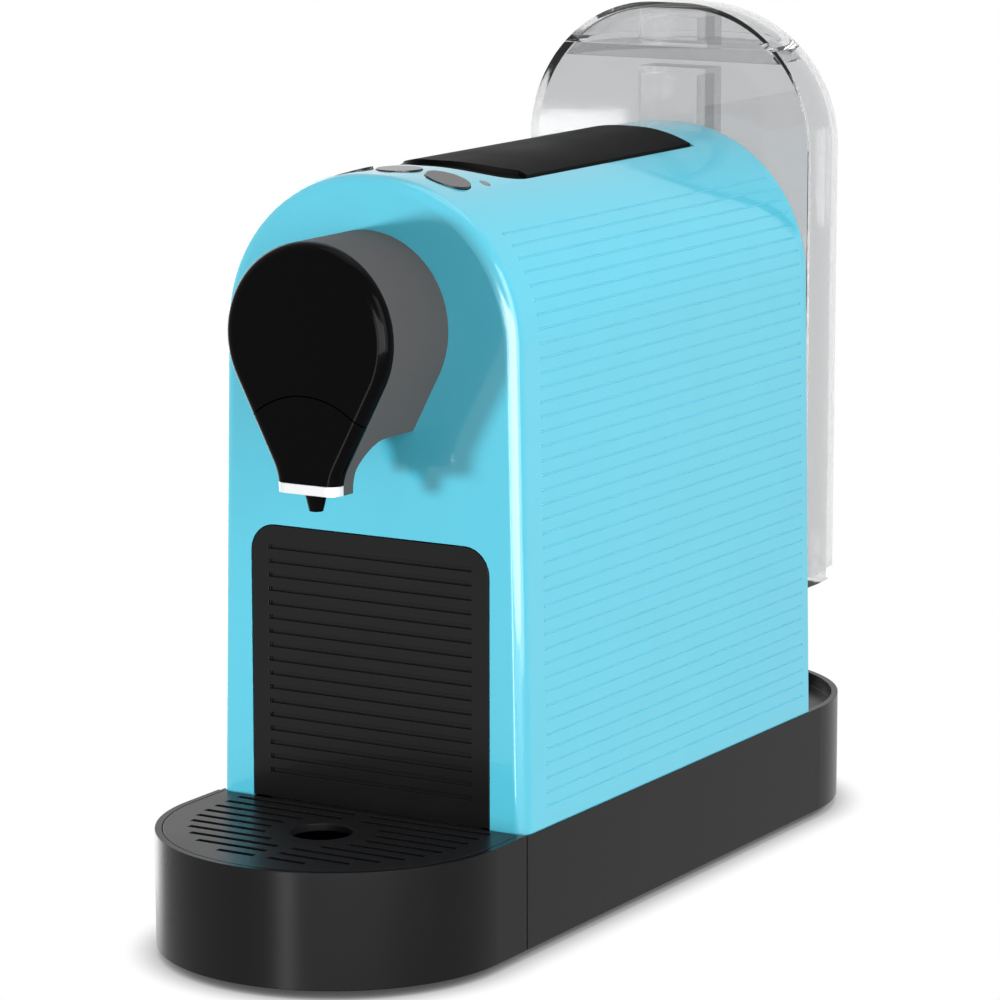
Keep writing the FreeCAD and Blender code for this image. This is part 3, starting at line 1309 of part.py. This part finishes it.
def tank_form(name, inset):
    """Outer form of tank and lid together, drawn in by a wall."""
    half = f"tank_half_width - ({inset})"
    radius = f"tank_radius - ({inset})"
    low = f"tank_low + ({inset}) / tank_wall * tank_floor"
    high = f"tank_high - ({inset})"
    front = doc.addObject("PartDesign::Body", f"{name}_front")
    front_y = f"tank_front + ({inset})"
    outline = arch_sketch(front, f"{name}_arch", front_y, half, radius, low, high, "0")
    pad(front, f"{name}_front_pad", outline, f"tank_axis - ({front_y})", reverse=True)
    back = doc.addObject("PartDesign::Body", f"{name}_back")
    sketch = sketch_on(back, f"{name}_half", "XZ_Plane", "-tank_axis")
    reach = num(half)
    turn = num(radius)
    floor = num(low)
    crown = num(high)
    flat = reach - turn
    sketch.addGeometry(line(0, floor, reach, floor))
    sketch.addGeometry(line(reach, floor, reach, crown - turn))
    sketch.addGeometry(arc(flat, crown - turn, turn, 0, 90))
    sketch.addGeometry(line(flat, crown, 0, crown))
    sketch.addGeometry(line(0, crown, 0, floor))
    sketch.addConstraint(Sketcher.Constraint("Coincident", 0, 2, 1, 1))
    sketch.addConstraint(Sketcher.Constraint("Tangent", 1, 2, 2, 1))
    sketch.addConstraint(Sketcher.Constraint("Tangent", 2, 2, 3, 1))
    sketch.addConstraint(Sketcher.Constraint("Coincident", 3, 2, 4, 1))
    sketch.addConstraint(Sketcher.Constraint("Coincident", 4, 2, 0, 1))
    sketch.addConstraint(Sketcher.Constraint("PointOnObject", 0, 1, -2))
    sketch.addConstraint(Sketcher.Constraint("PointOnObject", 3, 2, -2))
    sketch.addConstraint(Sketcher.Constraint("Horizontal", 0))
    sketch.addConstraint(Sketcher.Constraint("Vertical", 1))
    sketch.addConstraint(Sketcher.Constraint("Horizontal", 3))
    named(sketch, "floor", low, "DistanceY", -1, 1, 0, 2, floor)
    named(sketch, "reach", half, "DistanceX", -1, 1, 0, 2, reach)
    named(sketch, "turn", radius, "Radius", 2, turn)
    named(sketch, "crown", high, "DistanceY", -1, 1, 3, 2, crown)
    spin = back.newObject("PartDesign::Revolution", f"{name}_spin")
    spin.Profile = sketch
    spin.ReferenceAxis = (sketch, ["V_Axis"])
    spin.Angle = 180
    spin.Reversed = False
    doc.recompute()
    if back.Shape.CenterOfMass.y < num("tank_axis"):
        spin.Reversed = True
    return fuse(name, front, back)


def tank_slab(name, z, rise):
    return mid_box(name, "2 * tank_half_width", "body_rear", z, "4 * tank_half_width", rise)


tank_outer = tank_form("tank_outer", "0")
tank_inner = tank_form("tank_inner", "tank_wall")
skirt_outer = tank_form("skirt_outer", "tank_wall + fit_gap")
skirt_inner = tank_form("skirt_inner", "tank_wall + fit_gap + lid_skirt_wall")
tank_shell = cut(
    "tank_shell",
    common("tank_vessel", tank_outer, tank_slab("tank_below_seam", "tank_low", "tank_split - tank_low")),
    tank_inner,
)
grip_low = "base_top + grip_bottom"
grip_wall = common(
    "grip_wall",
    tank_outer,
    mid_box("grip_block", "grip_half_width + tank_wall", "tank_front", f"{grip_low} - tank_wall",
            "grip_depth + tank_wall", "grip_top - grip_bottom + 2 * tank_wall"),
)
sub_part("water_tank", cut(
    "water_tank",
    fuse("tank_whole", tank_shell, grip_wall),
    mid_box("grip_hollow", "grip_half_width", "body_rear", grip_low, "grip_depth + tank_gap",
            "grip_top - grip_bottom"),
    cylinder("tank_outlet", "0", "valve_y", "tank_low - valve_height", "valve_bore", "2 * valve_height"),
))

# Tank lid: clear dome on a flange, with a skirt that drops inside the tank and a finger pocket.
LID_LOW = "tank_split + fit_gap / 2"
lid_dome = cut(
    "lid_dome",
    common("lid_form", tank_outer, tank_slab("lid_zone", LID_LOW, "tank_high - tank_split")),
    tank_inner,
)
lid_flange = cut(
    "lid_flange",
    common("lid_flange_form", tank_outer, tank_slab("lid_flange_zone", LID_LOW, "tank_wall")),
    skirt_inner,
)
lid_skirt = cut(
    "lid_skirt",
    common("lid_skirt_form", skirt_outer,
           tank_slab("lid_skirt_zone", "tank_split - lid_skirt", "lid_skirt + tank_wall")),
    skirt_inner,
)
lid_pocket_wall = common(
    "lid_pocket_wall",
    tank_outer,
    mid_box("lid_pocket_block", "grip_half_width + tank_wall", "tank_front", LID_LOW,
            "grip_depth + tank_wall", "lid_grip_rise + tank_wall"),
)
sub_part("tank_lid", cut(
    "tank_lid",
    fuse("lid_whole", lid_dome, lid_flange, lid_skirt, lid_pocket_wall),
    mid_box("lid_pocket", "grip_half_width", "body_rear", f"{LID_LOW} + tank_wall", "grip_depth + tank_gap",
            "lid_grip_rise - tank_wall"),
))

# Tank valve: cage over the outlet on the tank's floor, with the poppet that closes it.
FLOOR_TOP = "tank_low + tank_floor"
sub_part("tank_valve", cut(
    "tank_valve",
    cylinder("valve_cage", "0", "valve_y", FLOOR_TOP, "valve_radius", "valve_height"),
    cylinder("valve_room", "0", "valve_y", "tank_low", "valve_radius - valve_wall",
             "tank_floor + valve_height - valve_wall"),
    box("valve_window_x", "-2 * valve_radius", "valve_y - valve_wall", f"{FLOOR_TOP} + valve_height / 3",
        "4 * valve_radius", "2 * valve_wall", "valve_height / 3"),
    mid_box("valve_window_y", "valve_wall", "valve_y - 2 * valve_radius", f"{FLOOR_TOP} + valve_height / 3",
            "4 * valve_radius", "valve_height / 3"),
))
sub_part("valve_poppet", fuse(
    "valve_poppet",
    cylinder("poppet_head", "0", "valve_y", FLOOR_TOP, "valve_bore + valve_wall", "valve_height / 3"),
    cylinder("poppet_stem", "0", "valve_y", f"{PIPE_TOP} + fit_gap", "valve_bore / 2",
             f"{FLOOR_TOP} - ({PIPE_TOP}) + valve_height / 3"),
))

# Pump: vibration pump with its coil, lying along the machine on a bracket.
PUMP_FRONT = "frame_front"
PUMP_Z = "deck_top + pump_rise"
sub_part("pump", fuse(
    "pump",
    cylinder("pump_barrel", "0", PUMP_FRONT, PUMP_Z, "pump_radius", "pump_length", "Y"),
    mid_box("pump_coil", "coil_side / 2", f"{PUMP_FRONT} + coil_length / 2", f"{PUMP_Z} - coil_side / 2",
            "coil_length", "coil_side"),
    cylinder("pump_outlet", "0", f"{PUMP_FRONT} + pump_length", PUMP_Z, "hose_radius",
             "2 * hose_radius", "Y"),
))
sub_part("pump_bracket", cut(
    "pump_bracket",
    mid_box("bracket_block", "coil_side / 2", f"{PUMP_FRONT} + coil_length / 2", "deck_top", "coil_length",
            "pump_rise - coil_side / 2"),
    mid_box("bracket_hollow", "coil_side / 2 - frame_thick", PUMP_FRONT, "deck_top",
            "2 * coil_length", "pump_rise - coil_side / 2 - frame_thick"),
))

# Thermoblock: cast heater on the left frame plate, with its two hose stubs.
HEATER_X = "-frame_half_gap - frame_thick - heater_thick"
HEATER_Z = "base_top + heater_rise"
HEATER_BACK = "frame_front + heater_depth"
STUB_X = f"{HEATER_X} + heater_thick / 2"
sub_part("thermoblock", fuse(
    "thermoblock",
    box("heater_block", HEATER_X, "frame_front", HEATER_Z, "heater_thick", "heater_depth", "heater_height"),
    cylinder("heater_inlet", STUB_X, HEATER_BACK, f"{HEATER_Z} + heater_bore * 2", "hose_radius",
             "4 * hose_radius", "Y"),
    cylinder("heater_outlet", STUB_X, HEATER_BACK, f"{HEATER_Z} + heater_height - heater_bore * 2",
             "hose_radius", "4 * hose_radius", "Y"),
))

# Flow meter: round counter on the right frame plate.
METER_X = "frame_half_gap + frame_thick"
METER_Y = "frame_rear - 2 * meter_radius"
sub_part("flow_meter", fuse(
    "flow_meter",
    cylinder("meter_case", METER_X, METER_Y, PIPE_Z, "meter_radius", "meter_length", "X"),
    cylinder("meter_stub", f"{METER_X} + meter_length / 2", METER_Y, PIPE_Z, "hose_radius",
             "2 * meter_radius", "Y"),
))

# Control board: upright board on standoffs at the right frame plate.
sub_part("control_board", fuse(
    "control_board",
    box("control_blank", "frame_half_gap + frame_thick + standoff", "frame_front", "base_top + control_rise",
        "board_thick", "control_depth", "control_height"),
    *[
        cylinder(f"control_post_{i}", "frame_half_gap + frame_thick",
                 f"frame_front + control_depth / 2 {sy or '+'} control_depth / 3",
                 f"base_top + control_rise + control_height / 2 {sz or '+'} control_height / 3",
                 "screw_radius * 2", "standoff", "X")
        for i, (sy, sz) in enumerate(BOSS_PLACES)
    ],
))

doc.recompute()
failed = [item.Name for item in doc.Objects if "Invalid" in item.State or "Error" in item.State]
if failed:
    raise ValueError(f"failed objects: {failed}")
for label, item in SUB_PARTS.items():
    if item.Shape.isNull() or not item.Shape.isValid():
        raise ValueError(f"{label} has no valid shape")

os.makedirs("parts", exist_ok=True)
for label, item in SUB_PARTS.items():
    item.Shape.exportStep(f"parts/{label}.step")
    print(label, len(item.Shape.Solids), round(item.Shape.Volume, 1))
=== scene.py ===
import bpy
import math
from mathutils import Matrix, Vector

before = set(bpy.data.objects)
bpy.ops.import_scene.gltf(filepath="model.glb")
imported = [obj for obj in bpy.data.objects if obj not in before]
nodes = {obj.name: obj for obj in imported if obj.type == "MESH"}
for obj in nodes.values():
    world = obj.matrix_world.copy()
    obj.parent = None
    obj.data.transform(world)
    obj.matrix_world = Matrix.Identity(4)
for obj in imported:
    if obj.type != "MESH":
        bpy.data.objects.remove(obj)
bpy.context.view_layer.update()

# Plinth: a stadium-shaped tub moulded in satin black plastic, closed below by a flat
# matt plate on plain steel screws. It stands on four rubber feet, holds the green
# power board and has a gland for the mains lead at the back.
plinth_colour = (0.009, 0.009, 0.0094, 1)
plate_colour = (0.02, 0.02, 0.022, 1)
rubber_colour = (0.03, 0.03, 0.031, 1)
steel_colour = (0.55, 0.55, 0.56, 1)
board_colour = (0.03, 0.16, 0.07, 1)
noise_low = 0.3
noise_high = 0.7
noise_detail = 2.0
sheen_patches = 24.0
sheen_low = 0.93
sheen_high = 1.07
shade_patches = 60.0
shade_low = 0.99
shade_high = 1.01
fine_grain = 2600.0
grain_depth = 0.0001
coat_rough = 0.04
corner_samples = 4
weld_gap = 0.000002
smooth_angle = math.radians(32)


def add_node(tree, kind, **sockets):
    """New shader node with constant values put on its input sockets."""
    node = tree.nodes.new(kind)
    for name, value in sockets.items():
        node.inputs[name.replace("_", " ")].default_value = value
    return node


def grain(tree, scale, detail=noise_detail):
    """Noise on the object's own metres, so that the grain keeps its real size."""
    place = tree.nodes.new("ShaderNodeTexCoord")
    noise = add_node(tree, "ShaderNodeTexNoise", Scale=scale, Detail=detail)
    tree.links.new(place.outputs["Object"], noise.inputs["Vector"])
    return noise.outputs["Fac"]


def spread(tree, value, low, high):
    """Maps noise about its middle to a range of values."""
    ramp = add_node(
        tree, "ShaderNodeMapRange",
        From_Min=noise_low, From_Max=noise_high, To_Min=low, To_Max=high,
    )
    tree.links.new(value, ramp.inputs["Value"])
    return ramp.outputs["Result"]


def moulded(name, colour, rough, coat=0.0, metal=0.0, shine=0.5,
            grain_scale=fine_grain, bump=0.04, edge=0.0004):
    """Moulded surface: uneven sheen, fine grain, faint colour change and softened edges."""
    material = bpy.data.materials.new(name)
    material.use_nodes = True
    tree = material.node_tree
    shader = tree.nodes["Principled BSDF"]
    shader.inputs["Metallic"].default_value = metal
    shader.inputs["Specular IOR Level"].default_value = shine
    shader.inputs["Coat Weight"].default_value = coat
    shader.inputs["Coat Roughness"].default_value = coat_rough
    sheen = spread(tree, grain(tree, sheen_patches), rough * sheen_low, rough * sheen_high)
    tree.links.new(sheen, shader.inputs["Roughness"])
    shade = tree.nodes.new("ShaderNodeHueSaturation")
    shade.inputs["Color"].default_value = colour
    tone = spread(tree, grain(tree, shade_patches), shade_low, shade_high)
    tree.links.new(tone, shade.inputs["Value"])
    tree.links.new(shade.outputs["Color"], shader.inputs["Base Color"])
    corner = add_node(tree, "ShaderNodeBevel", Radius=edge)
    corner.samples = corner_samples
    relief = add_node(tree, "ShaderNodeBump", Strength=bump, Distance=grain_depth)
    tree.links.new(grain(tree, grain_scale), relief.inputs["Height"])
    tree.links.new(corner.outputs["Normal"], relief.inputs["Normal"])
    tree.links.new(relief.outputs["Normal"], shader.inputs["Normal"])
    return material


def dress(material, *names):
    """Gives CAD nodes a material and shades their curved faces smooth."""
    for name in names:
        piece = nodes[name]
        piece.data.materials.clear()
        piece.data.materials.append(material)
        weld = piece.modifiers.new("weld", "WELD")
        weld.merge_threshold = weld_gap
        split = piece.modifiers.new("split", "EDGE_SPLIT")
        split.split_angle = smooth_angle


plinth_black = moulded("plinth_black", plinth_colour, rough=0.26, shine=0.09)
plate_black = moulded("plate_black", plate_colour, rough=0.55, bump=0.12)
foot_rubber = moulded("foot_rubber", rubber_colour, rough=0.75, bump=0.2)
screw_steel = moulded("screw_steel", steel_colour, rough=0.28, metal=1.0)
board_green = moulded("board_green", board_colour, rough=0.4, coat=0.3)
dress(plinth_black, "base_tub", "cord_gland")
dress(plate_black, "bottom_plate")
dress(foot_rubber, "rubber_feet")
dress(screw_steel, "base_screws")
dress(board_green, "power_board")

# Drip tray: the plinth's round front end, moulded in the same satin black plastic and
# slid in from the front. A slotted grille with a round drain hole lies in its rim.
grille_colour = (0.012, 0.012, 0.013, 1)
grille_black = moulded("grille_black", grille_colour, rough=0.33, shine=0.15, bump=0.08)
dress(plinth_black, "drip_tray")
dress(grille_black, "drip_grille")

# Capsule bin: an open box of matt black plastic that rides on the tray's tongue.
# Its ribbed satin front panel closes the opening in the housing's face.
panel_colour = (0.006, 0.006, 0.0065, 1)
panel_black = moulded("panel_black", panel_colour, rough=0.3, coat=0.05, shine=0.15, edge=0.0003)
dress(plate_black, "capsule_bin")
dress(panel_black, "bin_panel")

# Housing: a gloss turquoise arch with a rounded front edge and finely grooved flanks,
# moulded in one piece and closed behind by a flat matt black panel with vent slots.
body_colour = (0.1, 0.61, 0.79, 1)
body_blue = moulded("body_blue", body_colour, rough=0.2, coat=0.6, shine=0.3, bump=0.01, edge=0.00015)
dress(body_blue, "housing")
dress(plate_black, "rear_panel")

# Brew unit: a frame of glass-filled grey plastic behind the head, in which the capsule
# cage slides on two steel rods. Steel link bars draw the cage back from the needles,
# and a black chute lets the used capsule fall into the bin.
frame_colour = (0.2, 0.2, 0.21, 1)
valve_colour = (0.42, 0.42, 0.43, 1)
frame_grey = moulded("frame_grey", frame_colour, rough=0.5, bump=0.1)
valve_grey = moulded("valve_grey", valve_colour, rough=0.5)
dress(frame_grey, "brew_frame", "rod_carrier", "piercing_plate", "capsule_cage")
dress(screw_steel, "guide_rods", "cross_pin", "link_bars")
dress(foot_rubber, "cage_seal")
dress(plate_black, "capsule_chute")
dress(valve_grey, "feed_sleeve")

# Brew head: a balloon-shaped black housing with a domed gloss cap and a spout cover
# below it. A bright trim closes the neck's foot, round a small black nozzle on the
# outlet tube.
head_colour = (0.0012, 0.0012, 0.0013, 1)
# The head housing's black is lighter than the cap's. This is a painted sheen in its base colour that
# stands in for the soft grey highlight on its flanks.
flank_colour_painted_sheen = (0.01, 0.01, 0.0104, 1)
trim_colour = (0.85, 0.85, 0.86, 1)
head_black = moulded("head_black", head_colour, rough=0.2, coat=0.05, shine=0.02, bump=0.01, edge=0.0005)
# Head housing: satin black whose base colour carries the painted sheen of its flanks.
head_flank_painted_sheen = moulded("head_flank_painted_sheen", flank_colour_painted_sheen, rough=0.9, shine=1.0, bump=0.02, edge=0.0005)
trim_silver = moulded("trim_silver", trim_colour, rough=0.35, metal=0.25)
dress(head_black, "head_cap", "spout_cover", "nozzle")
dress(head_flank_painted_sheen, "head_housing")
dress(trim_silver, "spout_trim")
dress(valve_grey, "outlet_tube")

# Lever: a black strip set flush in the top of the arch, moulded with a scooped nose.
# It swings on a steel hinge pin, and two arms below it carry the crank pin.
lever_colour = (0.006, 0.006, 0.0065, 1)
lever_black = moulded("lever_black", lever_colour, rough=0.5, shine=0.02, bump=0.08)
dress(lever_black, "lever_cover")
dress(plate_black, "lever_arms")
dress(screw_steel, "crank_pin", "hinge_pin")

# Keys: three round black buttons on stems in front of the lever's nose, with a small
# dark lens beside them. A bracket below holds their switch board.
key_colour = (0.01, 0.01, 0.011, 1)
button_black = moulded("button_black", key_colour, rough=0.22, coat=0.1, shine=0.3)
lens_dark = moulded("lens_dark", key_colour, rough=0.1, coat=0.8, edge=0.0002)
dress(button_black, "button_left", "button_centre", "button_right")
dress(lens_dark, "indicator_lens")
dress(plate_black, "switch_bracket")
dress(board_green, "switch_board")

# Water tank: a vessel and lid moulded in clear, smoke-tinted plastic, with a finger grip
# in each. A grey valve in the vessel's floor plugs into a black dock with a rubber seal,
# from which the inlet pipe leads inside.
tank_tint = (0.72, 0.725, 0.73, 1)
tank_bend = 1.1
tank_coat = 0.6
polish_patches = 30.0
polish_detail = 3.0
polish_low = 0.015
polish_high = 0.04
wave_scale = 70.0
wave_bump = 0.05
wave_depth = 0.0005


def clear_plastic(name, tint):
    """Clear moulded plastic with faint waves in its surface."""
    material = bpy.data.materials.new(name)
    material.use_nodes = True
    tree = material.node_tree
    shader = tree.nodes["Principled BSDF"]
    shader.inputs["Base Color"].default_value = tint
    shader.inputs["Transmission Weight"].default_value = 1.0
    shader.inputs["IOR"].default_value = tank_bend
    shader.inputs["Coat Weight"].default_value = tank_coat
    polish = spread(tree, grain(tree, polish_patches, polish_detail), polish_low, polish_high)
    tree.links.new(polish, shader.inputs["Roughness"])
    relief = add_node(tree, "ShaderNodeBump", Strength=wave_bump, Distance=wave_depth)
    tree.links.new(grain(tree, wave_scale), relief.inputs["Height"])
    tree.links.new(relief.outputs["Normal"], shader.inputs["Normal"])
    return material


dress(clear_plastic("tank_clear", tank_tint), "water_tank", "tank_lid")
dress(valve_grey, "tank_valve", "valve_poppet", "inlet_pipe")
dress(plate_black, "tank_dock")
dress(foot_rubber, "dock_seal")

# Inner works: a steel-cased pump in a black bracket, a bare cast heater, a grey flow
# meter and the green control board, all fixed inside the housing behind the brew unit.
cast_colour = (0.6, 0.6, 0.61, 1)
cast_grain = 900.0
heater_cast = moulded("heater_cast", cast_colour, rough=0.45, metal=1.0, grain_scale=cast_grain, bump=0.3)
dress(screw_steel, "pump")
dress(plate_black, "pump_bracket")
dress(heater_cast, "thermoblock")
dress(valve_grey, "flow_meter")
dress(board_green, "control_board")

# Floor: a plain white sheet just below the rubber feet, with a painted contact shadow where the
# plinth stands on it, darkened from ambient occlusion. It stays out of reflections and casts no light on
# the object.
floor_size = 6.0
floor_drop = -0.0002
painted_shadow_reach = 0.012
half = floor_size / 2
floor_corners = [(-half, -half, 0), (half, -half, 0), (half, half, 0), (-half, half, 0)]
floor_mesh = bpy.data.meshes.new("floor")
floor_mesh.from_pydata(floor_corners, [], [(0, 1, 2, 3)])
floor = bpy.data.objects.new("floor", floor_mesh)
bpy.context.scene.collection.objects.link(floor)
floor.location.z = floor_drop
floor_paint = bpy.data.materials.new("floor_white")
floor_paint.use_nodes = True
floor_tree = floor_paint.node_tree
floor_tree.nodes.clear()
floor_out = floor_tree.nodes.new("ShaderNodeOutputMaterial")
floor_glow = add_node(floor_tree, "ShaderNodeEmission", Strength=1.0)
# Painted contact shadow: ambient occlusion darkens the floor's white glow near the plinth.
painted_contact_shadow = add_node(floor_tree, "ShaderNodeAmbientOcclusion", Distance=painted_shadow_reach)
floor_tree.links.new(painted_contact_shadow.outputs["Color"], floor_glow.inputs["Color"])
floor_tree.links.new(floor_glow.outputs["Emission"], floor_out.inputs["Surface"])
floor_mesh.materials.append(floor_paint)
floor.visible_glossy = False
floor.visible_diffuse = False
floor.visible_shadow = False

# Studio: a white room for the camera, reflections and clear plastic, and a dimmer fill
# on the surfaces. A wide softbox behind the camera draws the bright line on the housing's
# front edge, and a lamp on the left throws the brew head's shadow on the housing's face.
white = (1, 1, 1, 1)
room_strength = 1.0
fill_strength = 0.3
middle = (0, 0, 0.15)
side_height = 0.65
edge_height = 0.175
world = bpy.context.scene.world or bpy.data.worlds.new("studio")
bpy.context.scene.world = world
world.use_nodes = True
sky = world.node_tree
sky.nodes.clear()
sky_out = sky.nodes.new("ShaderNodeOutputWorld")
seen = add_node(sky, "ShaderNodeBackground", Color=white, Strength=room_strength)
fill = add_node(sky, "ShaderNodeBackground", Color=white, Strength=fill_strength)
path = sky.nodes.new("ShaderNodeLightPath")
clear = sky.nodes.new("ShaderNodeMath")
clear.operation = "MAXIMUM"
shown = sky.nodes.new("ShaderNodeMath")
shown.operation = "MAXIMUM"
pick = sky.nodes.new("ShaderNodeMixShader")
sky.links.new(path.outputs["Is Camera Ray"], clear.inputs[0])
sky.links.new(path.outputs["Is Transmission Ray"], clear.inputs[1])
sky.links.new(clear.outputs["Value"], shown.inputs[0])
sky.links.new(path.outputs["Is Glossy Ray"], shown.inputs[1])
sky.links.new(shown.outputs["Value"], pick.inputs["Fac"])
sky.links.new(fill.outputs["Background"], pick.inputs[1])
sky.links.new(seen.outputs["Background"], pick.inputs[2])
sky.links.new(pick.outputs["Shader"], sky_out.inputs["Surface"])


def softbox(name, place, target, width, height, power):
    """Rectangular lamp aimed at a point."""
    lamp = bpy.data.lights.new(name, "AREA")
    lamp.shape = "RECTANGLE"
    lamp.size = width
    lamp.size_y = height
    lamp.energy = power
    holder = bpy.data.objects.new(name, lamp)
    bpy.context.scene.collection.objects.link(holder)
    holder.location = place
    holder.rotation_euler = (Vector(target) - Vector(place)).to_track_quat("-Z", "Y").to_euler()
    return holder


softbox(
    "side_light", place=(1.55, -0.6, side_height), target=(0, 0, side_height),
    width=1.0, height=1.7, power=26.5,
)
plinth_light = softbox(
    "plinth_light", place=(0.0, -2.0, -0.3), target=middle, width=0.25, height=1.2, power=11,
)
plinth_light.visible_diffuse = False
edge_light = softbox(
    "edge_light", place=(1.15, -1.65, edge_height), target=(0, 0, edge_height),
    width=2.0, height=0.85, power=65,
)
edge_light.visible_diffuse = False
softbox("rim_light", place=(-1.5, 0.8, 0.3), target=middle, width=0.8, height=1.6, power=10)
softbox("top_light", place=(0.1, 0.2, 1.8), target=middle, width=1.0, height=1.4, power=6)
face_light = softbox(
    "face_light", place=(-0.8, -1.15, 0.05), target=middle, width=0.14, height=0.14, power=11.3,
)
face_light.visible_glossy = False

# Camera: a long lens in front of the machine and to its right, a little above it,
# with a slight shift that sets the machine in the frame as the photograph does.
eye = Vector((0.81180, -1.38599, 0.43836))
aim = Vector((0, -0.0014, 0.143))
camera_data = bpy.data.cameras.new("photo_camera")
camera_data.sensor_width = 36
camera_data.lens = 162.16
camera_data.shift_x = -0.0156
camera_data.shift_y = -0.0149
camera = bpy.data.objects.new("photo_camera", camera_data)
bpy.context.scene.collection.objects.link(camera)
camera.location = eye
camera.rotation_euler = (aim - eye).to_track_quat("-Z", "Y").to_euler()
bpy.context.scene.camera = camera
bpy.context.scene.view_settings.view_transform = "Standard"
